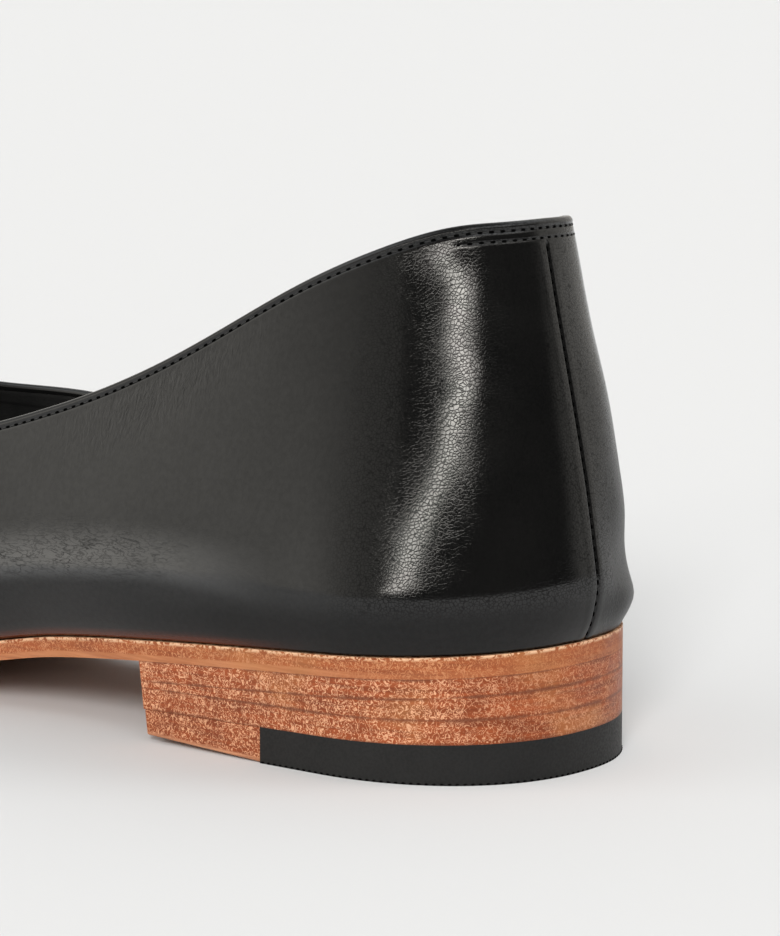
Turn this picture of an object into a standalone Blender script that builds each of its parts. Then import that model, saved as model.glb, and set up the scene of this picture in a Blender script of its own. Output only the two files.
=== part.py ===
"""Left flat shoe with a low stacked leather heel, built the way a shoemaker puts it together.

Pieces, from the floor up: a rubber quarter tip and a leather top piece side by side, a lower heel lift,
a heel wedge, an upper heel lift, a leather outsole, an insole and a hollow leather upper.

Frame: metres, +Z up, +X from heel to toe, +Y to the outer (lateral) side of a left foot. The shoe is drawn
with its heel at x = 0, and a parent empty then carries it to the middle of its own footprint.
"""

from collections import namedtuple

import bmesh
import bpy
import numpy as np

MM = 0.001

# Driving sizes of the last and the sole
SOLE_LENGTH = 250 * MM
BALL_WIDTH = 79 * MM
HEEL_WIDTH = 54.2 * MM
HEEL_HEIGHT = 19.9 * MM
BACK_RISE = 63.5 * MM
INSTEP_RISE = 46.4 * MM
TOE_SPRING = 7 * MM
TOE_BEND = 5 * MM

# Thicknesses and the gap that neighbouring pieces keep
UPPER_WALL = 1.8 * MM
OUTSOLE_THICKNESS = 3.2 * MM
INSOLE_THICKNESS = 3 * MM
GAP = 0.3 * MM

# Plan of the sole: round heel, almond toe, and the clearance of the insole inside the upper's wall
HEEL_ROUND_LENGTH = 30.6 * MM
HEEL_ROUND_POWER = 2.2
TOE_ROUND_START = 0.66 * SOLE_LENGTH
TOE_ROUND_POWER = 2.0
TOE_BEND_START = 0.48 * SOLE_LENGTH
INSOLE_CLEARANCE = 1.2 * MM

# The heel: where its front face stands, how far that face leans, and the length of the rubber tip
BREAST_TOP = 66.1 * MM
BREAST_LEAN = 0.12
HEEL_UNDERCUT = 0.35 * MM
RUBBER_LENGTH = 41.3 * MM
TOP_PIECE_LIFT = 1.2 * MM

# Mesh counts
LOOP_POINTS = 72
RISE_POINTS = 10
SOLE_STRIPS = 4
HEEL_STATIONS = 14

# Half widths of the sole beside its axis, as shares of the ball width, at shares of the length
Girth = namedtuple("Girth", "along lateral medial")
HEEL_SHARE = HEEL_WIDTH / BALL_WIDTH / 2
GIRTHS = (
    Girth(0.00, HEEL_SHARE, HEEL_SHARE),
    Girth(0.12, HEEL_SHARE, HEEL_SHARE),
    Girth(0.26, 0.345, 0.335),
    Girth(0.36, 0.334, 0.288),
    Girth(0.44, 0.350, 0.272),
    Girth(0.54, 0.411, 0.329),
    Girth(0.64, 0.480, 0.442),
    Girth(0.70, 0.496, 0.494),
    Girth(0.78, 0.494, 0.512),
    Girth(1.00, 0.482, 0.506),
)

# Height of the outsole's upper side above the floor, at shares of the length
Profile = namedtuple("Profile", "along height")
PROFILES = (
    Profile(0.000, HEEL_HEIGHT),
    Profile(0.120, HEEL_HEIGHT - 1.7 * MM),
    Profile(0.264, HEEL_HEIGHT - 4.0 * MM),
    Profile(0.340, HEEL_HEIGHT - 5.9 * MM),
    Profile(0.400, HEEL_HEIGHT - 8.5 * MM),
    Profile(0.520, OUTSOLE_THICKNESS + 2.4 * MM),
    Profile(0.630, OUTSOLE_THICKNESS),
    Profile(0.750, OUTSOLE_THICKNESS),
    Profile(0.860, OUTSOLE_THICKNESS + 0.24 * TOE_SPRING),
    Profile(1.000, OUTSOLE_THICKNESS + TOE_SPRING),
)

# Joints between the heel's layers: height above the floor at the back and at the front face
Joint = namedtuple("Joint", "back breast")
UNDER_OUTSOLE = Joint(16.7 * MM, 12.6 * MM)
OVER_WEDGE = Joint(13.9 * MM, 9.5 * MM)
UNDER_WEDGE = Joint(10.1 * MM, 8.6 * MM)
OVER_TOP_PIECE = Joint(6.3 * MM, 5.2 * MM)

# Sections of the upper from the back seam to the toe, the same way round on both sides.
# sole: where the section leaves the sole, as a share of the length
# inset: how far in from the sole's edge it does so (millimetres)
# top: where it meets the topline, as a share of the length
# lateral, medial: half width of the topline there, as shares of the ball width
# rise: height of the topline above the sole, as a share of the back's rise
# out, up: first handle of the wall's curve, which makes the bulge over the sole (millimetres)
# over, down: second handle, which leans the wall in to the topline (millimetres)
# fan: how far the second handle turns from the wall's normal towards the toe
Section = namedtuple("Section", "sole inset top lateral medial rise out up over down fan")
THROAT = INSTEP_RISE / BACK_RISE
SECTIONS = (
    Section(0.000, 0.3, 0.0344, 0.000, 0.000, 1.000, 5.4, 10.0, 4.6, 25, 0.0),
    Section(0.010, 0.3, 0.0424, 0.096, 0.096, 0.999, 5.4, 10.0, 4.5, 25, 0.0),
    Section(0.038, 0.3, 0.0660, 0.168, 0.168, 0.991, 5.3, 10.0, 4.3, 24, 0.0),
    Section(0.088, 0.3, 0.1040, 0.227, 0.225, 0.947, 5.2, 10.0, 4.0, 23, 0.0),
    Section(0.160, 0.3, 0.1640, 0.276, 0.270, 0.850, 5.2, 10.0, 3.8, 20, 0.0),
    Section(0.256, 0.3, 0.2500, 0.314, 0.303, 0.690, 5.8, 10.0, 3.4, 16, 0.0),
    Section(0.360, 0.3, 0.3480, 0.343, 0.335, 0.578, 7.0, 9.5, 3.0, 13, 0.0),
    Section(0.472, 0.5, 0.4440, 0.371, 0.365, 0.562, 7.2, 9.5, 3.0, 12, 0.0),
    Section(0.592, 0.8, 0.5320, 0.385, 0.385, 0.613, 6.2, 11.0, 4.0, 11, 0.1),
    Section(0.712, 1.0, 0.6040, 0.338, 0.342, 0.650, 5.0, 11.5, 6.0, 10, 0.3),
    Section(0.824, 1.2, 0.6540, 0.238, 0.244, 0.686, 4.2, 11.5, 11.0, 9, 0.6),
    Section(0.920, 1.2, 0.6800, 0.132, 0.136, 0.717, 3.4, 10.5, 20.0, 9, 0.9),
    Section(0.978, 1.2, 0.6888, 0.056, 0.058, 0.729, 2.9, 10.0, 29.0, 11, 1.0),
    Section(1.000, 1.2, 0.6912, 0.000, 0.000, THROAT, 2.5, 9.5, 33.0, 12, 1.0),
)
SECTION_STEPS = len(SECTIONS) - 1

# Finishes: colour, roughness
Finish = namedtuple("Finish", "colour roughness")
BLACK_LEATHER = Finish((0.012, 0.012, 0.013), 0.35)
BLACK_LINING = Finish((0.010, 0.010, 0.010), 0.55)
TAN_LEATHER = Finish((0.56, 0.27, 0.13), 0.55)
STACKED_LEATHER = Finish((0.44, 0.17, 0.07), 0.50)
BLACK_RUBBER = Finish((0.020, 0.020, 0.020), 0.70)


def clear_scene():
    """Removes every object of the scene."""
    for obj in list(bpy.data.objects):
        bpy.data.objects.remove(obj)


def steady_curve(knots, values, x):
    """A smooth curve through the values that never overshoots them, and is flat where two of them agree."""
    knots, values = np.asarray(knots, float), np.asarray(values, float)
    steps = np.diff(knots)
    rates = np.diff(values) / steps
    slopes = np.zeros(len(knots))
    slopes[0], slopes[-1] = rates[0], rates[-1]
    before, after = rates[:-1], rates[1:]
    rising = before * after > 0
    slopes[1:-1][rising] = 2 * before[rising] * after[rising] / (before + after)[rising]
    i = np.clip(np.searchsorted(knots, x) - 1, 0, len(steps) - 1)
    t = (np.asarray(x, float) - knots[i]) / steps[i]
    start = values[i] * (1 + 2 * t) * (1 - t) ** 2 + slopes[i] * steps[i] * t * (1 - t) ** 2
    end = values[i + 1] * (3 - 2 * t) * t**2 - slopes[i + 1] * steps[i] * t**2 * (1 - t)
    return start + end


def closed_spline(rows, count):
    """count points, evenly spaced in the row number, on a smooth closed spline through the rows."""
    rows = np.asarray(rows, float)
    size = len(rows)
    nearby = np.roll(np.eye(size), 1, axis=0) + np.roll(np.eye(size), -1, axis=0)
    bends = np.linalg.solve(4 * np.eye(size) + nearby, 6 * (nearby @ rows - 2 * rows))
    place = np.arange(count) * size / count
    i = place.astype(int)
    t = (place - i)[:, None]
    s = 1 - t
    after = (i + 1) % size
    return s * rows[i] + t * rows[after] + ((s**3 - s) * bends[i] + (t**3 - t) * bends[after]) / 6


def sole_top(x):
    """Height of the outsole's upper side at x."""
    return steady_curve([p.along * SOLE_LENGTH for p in PROFILES], [p.height for p in PROFILES], x)


def sole_bottom(x):
    """Height of the outsole's lower side at x."""
    return sole_top(x) - OUTSOLE_THICKNESS


def axis_bend(x):
    """How far the sole's axis has turned towards the big toe at x."""
    share = np.clip((x - TOE_BEND_START) / (SOLE_LENGTH - TOE_BEND_START), 0, 1)
    return -TOE_BEND * share**2


def end_rounding(x):
    """1 along the sole's middle, falling to 0 round the heel and round the toe."""
    heel = np.clip(1 - x / HEEL_ROUND_LENGTH, 0, 1)
    toe = np.clip((x - TOE_ROUND_START) / (SOLE_LENGTH - TOE_ROUND_START), 0, 1)
    heel_part = (1 - heel**HEEL_ROUND_POWER) ** (1 / HEEL_ROUND_POWER)
    return heel_part * (1 - toe**TOE_ROUND_POWER) ** (1 / TOE_ROUND_POWER)


def sole_edge(x, side):
    """y of the outsole's edge at x, on the lateral (+1) or the medial (-1) side."""
    knots = [g.along * SOLE_LENGTH for g in GIRTHS]
    shares = [g.lateral if side > 0 else g.medial for g in GIRTHS]
    half = steady_curve(knots, shares, x) * BALL_WIDTH * end_rounding(x)
    return axis_bend(x) + side * half


def outward(points):
    """Unit normals of a loop of plan points that runs clockwise, seen from above."""
    along = np.roll(points, -1, axis=0) - np.roll(points, 1, axis=0)
    normals = np.column_stack([-along[:, 1], along[:, 0]])
    return normals / np.linalg.norm(normals, axis=1)[:, None]


def section_loop(count):
    """The section table as a closed loop: back, lateral side, toe, medial side. Sides are +1 and -1."""
    rows = []
    for k in range(2 * SECTION_STEPS):
        lateral = k <= SECTION_STEPS
        row = SECTIONS[k if lateral else 2 * SECTION_STEPS - k]
        half = row.lateral if lateral else -row.medial
        curve = (row.rise, row.out, row.up, row.over, row.down, row.fan)
        rows.append((row.sole, row.inset, row.top, half, *curve))
    columns = closed_spline(rows, count).T
    sides = np.where(np.arange(count) <= count // 2, 1, -1)
    return columns, sides


def plan_loop(inset):
    """The sole's outline, clockwise from the back of the heel and set in from the edge, and its normals."""
    columns, sides = section_loop(LOOP_POINTS)
    x = np.clip(columns[0], 0, 1) * SOLE_LENGTH
    y = np.where(sides > 0, sole_edge(x, 1), sole_edge(x, -1))
    edge = np.column_stack([x, y])
    normals = outward(edge)
    return edge - np.reshape(inset, (-1, 1)) * normals, normals


def upper_surface():
    """The upper's outer face: rows from the sole to the topline, each a loop round the shoe."""
    (_, inset, top, half, rise, out, up, over, down, fan), _ = section_loop(LOOP_POINTS)
    feather, normals = plan_loop(inset * MM)
    foot = np.column_stack([feather, sole_top(feather[:, 0]) + GAP])
    top_x = top * SOLE_LENGTH
    top_z = sole_top(top_x) + rise * BACK_RISE
    collar = np.column_stack([top_x, axis_bend(top_x) + half * BALL_WIDTH, top_z])
    level = np.column_stack([normals, np.zeros(len(normals))])
    ahead = foot - collar
    ahead[:, 2] = 0
    ahead /= np.linalg.norm(ahead, axis=1)[:, None]
    lean = level + fan[:, None] * (ahead - level)
    lean /= np.linalg.norm(lean, axis=1)[:, None]
    upright = np.array([0, 0, 1])
    bulge = foot + MM * (out[:, None] * level + up[:, None] * upright)
    shoulder = collar + MM * (over[:, None] * lean - down[:, None] * upright)
    rows = []
    for t in np.linspace(0, 1, RISE_POINTS + 1):
        s = 1 - t
        rows.append(s**3 * foot + 3 * s**2 * t * bulge + 3 * s * t**2 * shoulder + t**3 * collar)
    return np.array(rows)


def principled(name, finish):
    """A plain material of that colour and roughness."""
    material = bpy.data.materials.new(name)
    material.use_nodes = True
    shader = material.node_tree.nodes["Principled BSDF"]
    shader.inputs["Base Color"].default_value = (*finish.colour, 1)
    shader.inputs["Roughness"].default_value = finish.roughness
    shader.inputs["Metallic"].default_value = 0
    return material


def add_part(name, bm, finish, collection, root):
    """Makes a finished object of the mesh, shaded smooth except at its corners."""
    weld_distance = 0.001 * MM
    crease_degrees = 40
    bmesh.ops.remove_doubles(bm, verts=bm.verts, dist=weld_distance)
    bmesh.ops.recalc_face_normals(bm, faces=bm.faces)
    mesh = bpy.data.meshes.new(name)
    bm.to_mesh(mesh)
    bm.free()
    mesh.shade_smooth()
    mesh.set_sharp_from_angle(angle=np.radians(crease_degrees))
    mesh.materials.append(principled(name, finish))
    obj = bpy.data.objects.new(name, mesh)
    collection.objects.link(obj)
    obj.parent = root
    return obj


def mapped_grid(columns, rows, place):
    """A grid of columns by rows quads whose point (i, j) goes to place(i, j)."""
    bm = bmesh.new()
    bmesh.ops.create_grid(bm, x_segments=columns, y_segments=rows, size=1)
    for vert in bm.verts:
        i = round((vert.co.x + 1) / 2 * columns)
        j = round((vert.co.y + 1) / 2 * rows)
        vert.co = place(i, j)
    return bm


def plate(lateral, medial, top, bottom):
    """A solid between two edges given as plan points, from the height top(x) down to bottom(x)."""

    def place(i, j):
        x, y = medial[j] + (lateral[j] - medial[j]) * i / SOLE_STRIPS
        return x, y, top(x)

    bm = mapped_grid(SOLE_STRIPS, len(lateral) - 1, place)
    grown = bmesh.ops.extrude_face_region(bm, geom=bm.faces[:])
    for element in grown["geom"]:
        if isinstance(element, bmesh.types.BMVert):
            element.co.z = bottom(element.co.x)
    return bm


def sole_sides(inset):
    """The lateral and the medial edge of the sole, from heel to toe, set in from the outline."""
    loop, _ = plan_loop(inset)
    half = LOOP_POINTS // 2
    medial = np.roll(loop[::-1], 1, axis=0)
    return loop[: half + 1], medial[: half + 1]


def heel_sides(start, end):
    """The heel's two edges between two distances from its back, closer together round the back."""
    share = np.linspace(np.sqrt(start / end), 1, HEEL_STATIONS)
    x = share**2 * (end - HEEL_UNDERCUT) + HEEL_UNDERCUT
    inner = np.clip(x - HEEL_UNDERCUT, 0, None)
    lateral = np.column_stack([x, sole_edge(inner, 1) - HEEL_UNDERCUT * np.sign(inner)])
    medial = np.column_stack([x, sole_edge(inner, -1) + HEEL_UNDERCUT * np.sign(inner)])
    return lateral, medial


def joint_height(joint, x):
    """Height of a joint between two heel layers at x."""
    return joint.back + (joint.breast - joint.back) * x / BREAST_TOP


def heel_layer(upper_joint, lower_joint):
    """One lift of the heel, between two of its joints."""
    front = BREAST_TOP - BREAST_LEAN * (UNDER_OUTSOLE.breast - lower_joint.breast)
    lateral, medial = heel_sides(0, front)
    return plate(
        lateral,
        medial,
        lambda x: joint_height(upper_joint, x) - GAP,
        lambda x: joint_height(lower_joint, x),
    )


def top_piece():
    """The leather front half of the heel's last layer. Its underside lifts a little towards the front face."""
    front = BREAST_TOP - BREAST_LEAN * UNDER_OUTSOLE.breast
    back = RUBBER_LENGTH + GAP
    lateral, medial = heel_sides(back, front)
    least_lift = 0.15 * MM

    def underside(x):
        share = np.clip((x - back) / (front - back), 0, 1)
        return least_lift + (TOP_PIECE_LIFT - least_lift) * share

    return plate(lateral, medial, lambda x: joint_height(OVER_TOP_PIECE, x) - GAP, underside)


def rubber_tip():
    """The rubber back half of the heel's last layer, flat on the floor."""
    lateral, medial = heel_sides(0, RUBBER_LENGTH)
    return plate(lateral, medial, lambda x: joint_height(OVER_TOP_PIECE, x) - GAP, lambda x: 0.0)


def outsole():
    """The leather outsole, from the heel seat over the arch to the sprung toe."""
    lateral, medial = sole_sides(0)
    return plate(lateral, medial, sole_top, sole_bottom)


def insole():
    """The insole that lies on the outsole inside the upper."""
    columns, _ = section_loop(LOOP_POINTS)
    lateral, medial = sole_sides(columns[1] * MM + UPPER_WALL + INSOLE_CLEARANCE)
    return plate(
        lateral,
        medial,
        lambda x: sole_top(x) + GAP + INSOLE_THICKNESS,
        lambda x: sole_top(x) + GAP,
    )


def upper_skin():
    """The upper's outer face as an open sheet, joined to itself at the back seam."""
    surface = upper_surface()
    return mapped_grid(LOOP_POINTS, RISE_POINTS, lambda i, j: surface[j, i % LOOP_POINTS])


def thicken(obj):
    """Gives the upper's sheet the wall of a lined leather upper, on its inner side."""
    wall = obj.modifiers.new("wall", "SOLIDIFY")
    wall.thickness = UPPER_WALL
    wall.offset = -1
    wall.use_even_offset = True


def centre_on_footprint(root, collection):
    """Carries the shoe, by its parent, so that the origin is under the middle of its box."""
    bpy.context.view_layer.update()
    graph = bpy.context.evaluated_depsgraph_get()
    corners = [corner for obj in collection.objects for corner in obj.evaluated_get(graph).bound_box]
    corners = np.array([list(corner) for corner in corners])
    middle = (corners.min(axis=0) + corners.max(axis=0)) / 2
    root.location = (-middle[0], -middle[1], 0)


def main():
    clear_scene()
    collection = bpy.data.collections.new("flat_shoe")
    bpy.context.scene.collection.children.link(collection)
    root = bpy.data.objects.new("shoe_origin", None)
    bpy.context.scene.collection.objects.link(root)
    add_part("heel_rubber_tip", rubber_tip(), BLACK_RUBBER, collection, root)
    add_part("heel_top_piece", top_piece(), STACKED_LEATHER, collection, root)
    layers = {
        "heel_lift_lower": (UNDER_WEDGE, OVER_TOP_PIECE),
        "heel_wedge": (OVER_WEDGE, UNDER_WEDGE),
        "heel_lift_upper": (UNDER_OUTSOLE, OVER_WEDGE),
    }
    for name, joints in layers.items():
        add_part(name, heel_layer(*joints), STACKED_LEATHER, collection, root)
    add_part("outsole", outsole(), TAN_LEATHER, collection, root)
    add_part("insole", insole(), BLACK_LINING, collection, root)
    thicken(add_part("upper", upper_skin(), BLACK_LEATHER, collection, root))
    centre_on_footprint(root, collection)


main()
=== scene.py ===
"""Looks of the left flat shoe: grained black leather upper with its seam and stitches, stacked leather heel,
tan outsole, lined inside, on a pale studio floor.

The shoe's own sizes and section tables are repeated here from its source, so that every dressed piece keeps
the form of the solid it stands for. They are in metres, with x from the back of the heel to the toe, y to the
outer side and z up from the floor.
"""

import math
from collections import namedtuple

import bmesh
import bpy
import numpy as np
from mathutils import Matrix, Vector, noise


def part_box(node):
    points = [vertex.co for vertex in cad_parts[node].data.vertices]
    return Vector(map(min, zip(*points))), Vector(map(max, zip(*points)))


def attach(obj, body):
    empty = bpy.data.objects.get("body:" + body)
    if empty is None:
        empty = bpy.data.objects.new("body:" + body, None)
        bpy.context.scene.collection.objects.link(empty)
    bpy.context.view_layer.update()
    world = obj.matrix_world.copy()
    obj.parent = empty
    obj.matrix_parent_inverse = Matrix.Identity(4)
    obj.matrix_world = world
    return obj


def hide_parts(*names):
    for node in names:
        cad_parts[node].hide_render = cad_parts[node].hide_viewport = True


MM = 0.001

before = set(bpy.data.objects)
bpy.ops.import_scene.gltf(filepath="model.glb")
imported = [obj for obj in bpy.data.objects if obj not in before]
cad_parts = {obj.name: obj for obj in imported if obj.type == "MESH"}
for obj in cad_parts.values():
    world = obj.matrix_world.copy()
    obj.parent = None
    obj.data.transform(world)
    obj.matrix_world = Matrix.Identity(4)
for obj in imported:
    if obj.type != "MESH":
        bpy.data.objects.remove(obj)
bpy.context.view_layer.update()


def mm(*sizes):
    """Sizes in millimetres as metres."""
    return tuple(size * MM for size in sizes)


# Driving sizes of the last and the sole
SOLE_LENGTH = 250 * MM
BALL_WIDTH = 79 * MM
HEEL_WIDTH = 54.2 * MM
HEEL_HEIGHT = 19.9 * MM
BACK_RISE = 63.5 * MM
INSTEP_RISE = 46.4 * MM
TOE_SPRING = 7 * MM
TOE_BEND = 5 * MM
UPPER_WALL = 1.8 * MM
OUTSOLE_THICKNESS = 3.2 * MM
INSOLE_THICKNESS = 3 * MM
GAP = 0.3 * MM
HEEL_ROUND_LENGTH = 30.6 * MM
HEEL_ROUND_POWER = 2.2
TOE_ROUND_START = 0.66 * SOLE_LENGTH
TOE_ROUND_POWER = 2.0
TOE_BEND_START = 0.48 * SOLE_LENGTH
INSOLE_CLEARANCE = 0.25 * MM
BREAST_TOP = 66.1 * MM
BREAST_LEAN = 0.12
LEAN_REACH = 8 * MM
RUBBER_LENGTH = 41.3 * MM
TOP_PIECE_GAP = 0.05 * MM
TOP_PIECE_CLEAR = 0.15 * MM
TOP_PIECE_LIFT = 1.2 * MM

# From the shoe's own zero, on the floor under the back of the sole, to the frame's
heel_low, heel_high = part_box("heel_rubber_tip")
SHIFT = np.array([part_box("outsole")[0].x, (heel_low.y + heel_high.y) / 2, 0.0])

# Half widths of the sole beside its axis, as shares of the ball width, at shares of the length
Girth = namedtuple("Girth", "along lateral medial")
HEEL_SHARE = HEEL_WIDTH / BALL_WIDTH / 2
GIRTHS = (
    Girth(0.00, HEEL_SHARE, HEEL_SHARE),
    Girth(0.12, HEEL_SHARE, HEEL_SHARE),
    Girth(0.26, 0.345, 0.335),
    Girth(0.36, 0.334, 0.288),
    Girth(0.44, 0.350, 0.272),
    Girth(0.54, 0.411, 0.329),
    Girth(0.64, 0.480, 0.442),
    Girth(0.70, 0.496, 0.494),
    Girth(0.78, 0.494, 0.512),
    Girth(1.00, 0.482, 0.506),
)

# Height of the outsole's upper side above the floor, at shares of the length
Profile = namedtuple("Profile", "along height")
PROFILES = (
    Profile(0.000, HEEL_HEIGHT),
    Profile(0.120, HEEL_HEIGHT - 1.7 * MM),
    Profile(0.264, HEEL_HEIGHT - 4.0 * MM),
    Profile(0.340, HEEL_HEIGHT - 5.9 * MM),
    Profile(0.400, HEEL_HEIGHT - 8.5 * MM),
    Profile(0.520, OUTSOLE_THICKNESS + 2.4 * MM),
    Profile(0.630, OUTSOLE_THICKNESS),
    Profile(0.750, OUTSOLE_THICKNESS),
    Profile(0.860, OUTSOLE_THICKNESS + 0.24 * TOE_SPRING),
    Profile(1.000, OUTSOLE_THICKNESS + TOE_SPRING),
)

# Joints between the heel's layers: height above the floor at the back and at the front face
Joint = namedtuple("Joint", "back breast")
UNDER_OUTSOLE = Joint(*mm(16.7, 12.6))
OVER_WEDGE = Joint(*mm(13.9, 9.5))
UNDER_WEDGE = Joint(*mm(10.1, 8.6))
OVER_TOP_PIECE = Joint(*mm(6.3, 5.2))
TOP_PIECE_BACK = RUBBER_LENGTH + TOP_PIECE_GAP
TOP_PIECE_FRONT = BREAST_TOP - BREAST_LEAN * UNDER_OUTSOLE.breast

# Sections of the upper from the back seam to the toe, as in the source
Section = namedtuple("Section", "sole inset top lateral medial rise out up over down fan")
THROAT = INSTEP_RISE / BACK_RISE
SECTIONS = (
    Section(0.000, 0.3, 0.0344, 0.000, 0.000, 1.000, 5.4, 10.0, 4.6, 25, 0.0),
    Section(0.010, 0.3, 0.0424, 0.096, 0.096, 0.999, 5.4, 10.0, 4.5, 25, 0.0),
    Section(0.038, 0.3, 0.0660, 0.168, 0.168, 0.991, 5.3, 10.0, 4.3, 24, 0.0),
    Section(0.088, 0.3, 0.1040, 0.227, 0.225, 0.947, 5.2, 10.0, 4.0, 23, 0.0),
    Section(0.160, 0.3, 0.1640, 0.276, 0.270, 0.850, 5.2, 10.0, 3.8, 20, 0.0),
    Section(0.256, 0.3, 0.2500, 0.314, 0.303, 0.690, 5.8, 10.0, 3.4, 16, 0.0),
    Section(0.360, 0.3, 0.3480, 0.343, 0.335, 0.578, 7.0, 9.5, 3.0, 13, 0.0),
    Section(0.472, 0.5, 0.4440, 0.371, 0.365, 0.562, 7.2, 9.5, 3.0, 12, 0.0),
    Section(0.592, 0.8, 0.5320, 0.385, 0.385, 0.613, 6.2, 11.0, 4.0, 11, 0.1),
    Section(0.712, 1.0, 0.6040, 0.338, 0.342, 0.650, 5.0, 11.5, 6.0, 10, 0.3),
    Section(0.824, 1.2, 0.6540, 0.238, 0.244, 0.686, 4.2, 11.5, 11.0, 9, 0.6),
    Section(0.920, 1.2, 0.6800, 0.132, 0.136, 0.717, 3.4, 10.5, 20.0, 9, 0.9),
    Section(0.978, 1.2, 0.6888, 0.056, 0.058, 0.729, 2.9, 10.0, 29.0, 11, 1.0),
    Section(1.000, 1.2, 0.6912, 0.000, 0.000, THROAT, 2.5, 9.5, 33.0, 12, 1.0),
)
SECTION_STEPS = len(SECTIONS) - 1

# Details of the upper
RIM_WALL = 1.5 * MM
FOLD_HEIGHT = 0.10 * MM
TURNED_EDGE = 0.18 * MM
STITCH_ROW = 1.45 * MM
STITCH_PITCH = 1.75 * MM
STITCH_LENGTH = 1.2 * MM
STITCH_SINK = 0.10 * MM
STITCH_TROUGH = 0.16 * MM
THREAD_RADIUS = 0.13 * MM
SECOND_ROW = 2.95 * MM
SECOND_ROW_REACH = 14.8 * MM
SECOND_TROUGH = 0.08 * MM
TROUGH_WIDTH = 0.24 * MM
HOLE_LENGTH = 0.82 * MM
HOLE_RADIUS = 0.23 * MM
HOLE_SINK = 0.07 * MM
SEAM_DEPTH = 0.32 * MM
SEAM_WIDTH = 0.24 * MM
SEAM_OFFSET = -0.1 * MM
SEAM_LIP = 0.05 * MM
SEAM_PITCH = 1.65 * MM
SEAM_STITCH_START = SECOND_ROW + 0.8 * MM
SEAM_STITCH_LENGTH = 0.7 * MM
SEAM_STITCH_RADIUS = 0.17 * MM
SEAM_STITCH_OFFSET = -0.16 * MM
SEAM_STITCH_SINK = 0.14 * MM
WANDER = 0.035 * MM
WANDER_SIZE = 8 * MM
FINE_WANDER = 0.010 * MM
FINE_WANDER_SIZE = 2.6 * MM

# Details of the heel and the soles
LAYER_JOINT = 0.004 * MM
LAYER_BEVEL = 0.02 * MM
TOP_PIECE_BEVEL = 0.3 * MM
RUBBER_BEVEL = 0.2 * MM
INSOLE_BEVEL = 0.6 * MM
NOTCH_PITCH = 1.15 * MM
NOTCH_HEIGHT = 0.18 * MM
NOTCH_LENGTH = 0.6 * MM
NOTCH_RADIUS = 0.20 * MM
NOTCH_SINK = 0.05 * MM

# Soft ridges (+) and troughs (-) of the drawn-down leather: height above the sole, size and half width
Ridge = namedtuple("Ridge", "height size width")
FEATHER_RIDGE = Ridge(*mm(8.4, 0.75, 4.2))
FEATHER_RIDGE_ROUND = 1.6 * MM
WAIST_RIDGE_ROUND = 2.0 * MM
WAIST_RIDGE_GROWTH = 1.1
WAIST_RIDGE_RISE = 2.4 * MM
INNER_HEEL_RIDGES = (
    Ridge(*mm(4.6, 0.75, 2.6)),
    Ridge(*mm(12.0, -0.85, 5.0)),
    Ridge(*mm(36.0, 0.70, 10.0)),
    Ridge(*mm(62.0, 1.45, 19.0)),
)

# Spans over which a form or a look of the leather comes or goes, by the distance from the back of the heel
SEAM_END = mm(14, 18)
SECOND_ROW_END = (SECOND_ROW_REACH - 1 * MM, SECOND_ROW_REACH)
HEEL_GRAIN_END = mm(17, 30)
INNER_HEEL_END = mm(26, 50)
# Where the painted reflection of the tan sole on the upper's foot begins
SOLE_REFLECTION_START = mm(30, 55)
SHEEN_START = mm(34, 60)
RIDGE_CLIMB = mm(35, 65)
UNDER_SHADE_END = mm(40, 75)
WAIST_START = mm(40, 85)
CRACKLE_START = mm(42, 70)
# Where the painted reflection of the tan sole on the upper's foot ends
SOLE_REFLECTION_END = mm(110, 150)
RIDGE_END = mm(130, 170)
SHEEN_END = mm(150, 190)

# The same for the sanded edges: the calm back of the heel, and the plain band's growth ahead of it
EDGE_CALM_END = mm(1.82, 12.32)
BAND_GROWTH = mm(12.32, 39.32)

# Such spans by the height above the sole
# How high the painted reflection of the tan sole reaches up the upper
SOLE_REFLECTION_TOP = mm(0.4, 2.0)
FULLNESS_FOOT = mm(0, 2)
RIDGE_FOOT = mm(0, 3)
WANDER_FOOT = mm(1, 5)
UNDER_TOP = mm(5, 9)
INNER_LOW_TOP = mm(15, 50)

# By the height above the ridge
SHEEN_FOOT = mm(-1.6, 1.6)
SHEEN_TOP = mm(3, 9)

# By the distance below the topline
TURNED_EDGE_START = mm(0.8, 1.6)
FULL_WALL = mm(1, 9)
WRINKLE_START = mm(1.6, 3)
WANDER_START = mm(2, 6)
SEAM_START = (SECOND_ROW + 0.2 * MM, SECOND_ROW + 1.2 * MM)
TURNED_EDGE_END = mm(3.6, 4.0)
WRINKLE_END = mm(5, 15)

# By the distance from the back seam towards the inner side
INNER_GRAIN = mm(0, 6)
INNER_LOW = mm(0, 8)
INNER_HEEL = mm(0, 12)

# Soft bands as middle and half width: the fold below the topline, the lips beside the seam, the wrinkles
# along the topline, and the crackle above the ridge
FOLD_BAND = mm(0.8, 0.45)
LIP_BAND = mm(1.3, 0.8)
WRINKLE_BAND = mm(64, 17)
CRACKLE_BAND = mm(3.6, 4.6)

# Shares of the leather's grain and gloss, of the painted shade low on its wall and at the inner heel, and
# sizes of its grain and creases
PLAIN_GRAIN = 0.10
UNDER_SHADE = 0.38
INNER_SHADE = 0.52
GRAIN_DEPTH = 0.0027 * MM
GRAIN_WARP = 0.9 * MM
CREASE_DEPTH = 0.09 * MM

# Colours of the blacks, the painted reflection of the tan sole on the upper's foot, the bare edges and the
# floor
DEEP_BLACK = (0.0026, 0.0026, 0.0026)
SOFT_BLACK = (0.0040, 0.0039, 0.0038)
SOLE_REFLECTION_BROWN = (0.085, 0.019, 0.007)
OCHRE = (0.36, 0.15, 0.050)
JOINT_BROWN = (0.13, 0.034, 0.013)
FIBRE_PALE = (0.72, 0.46, 0.28)
FLOOR_PALE = (0.684, 0.681, 0.680)

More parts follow.
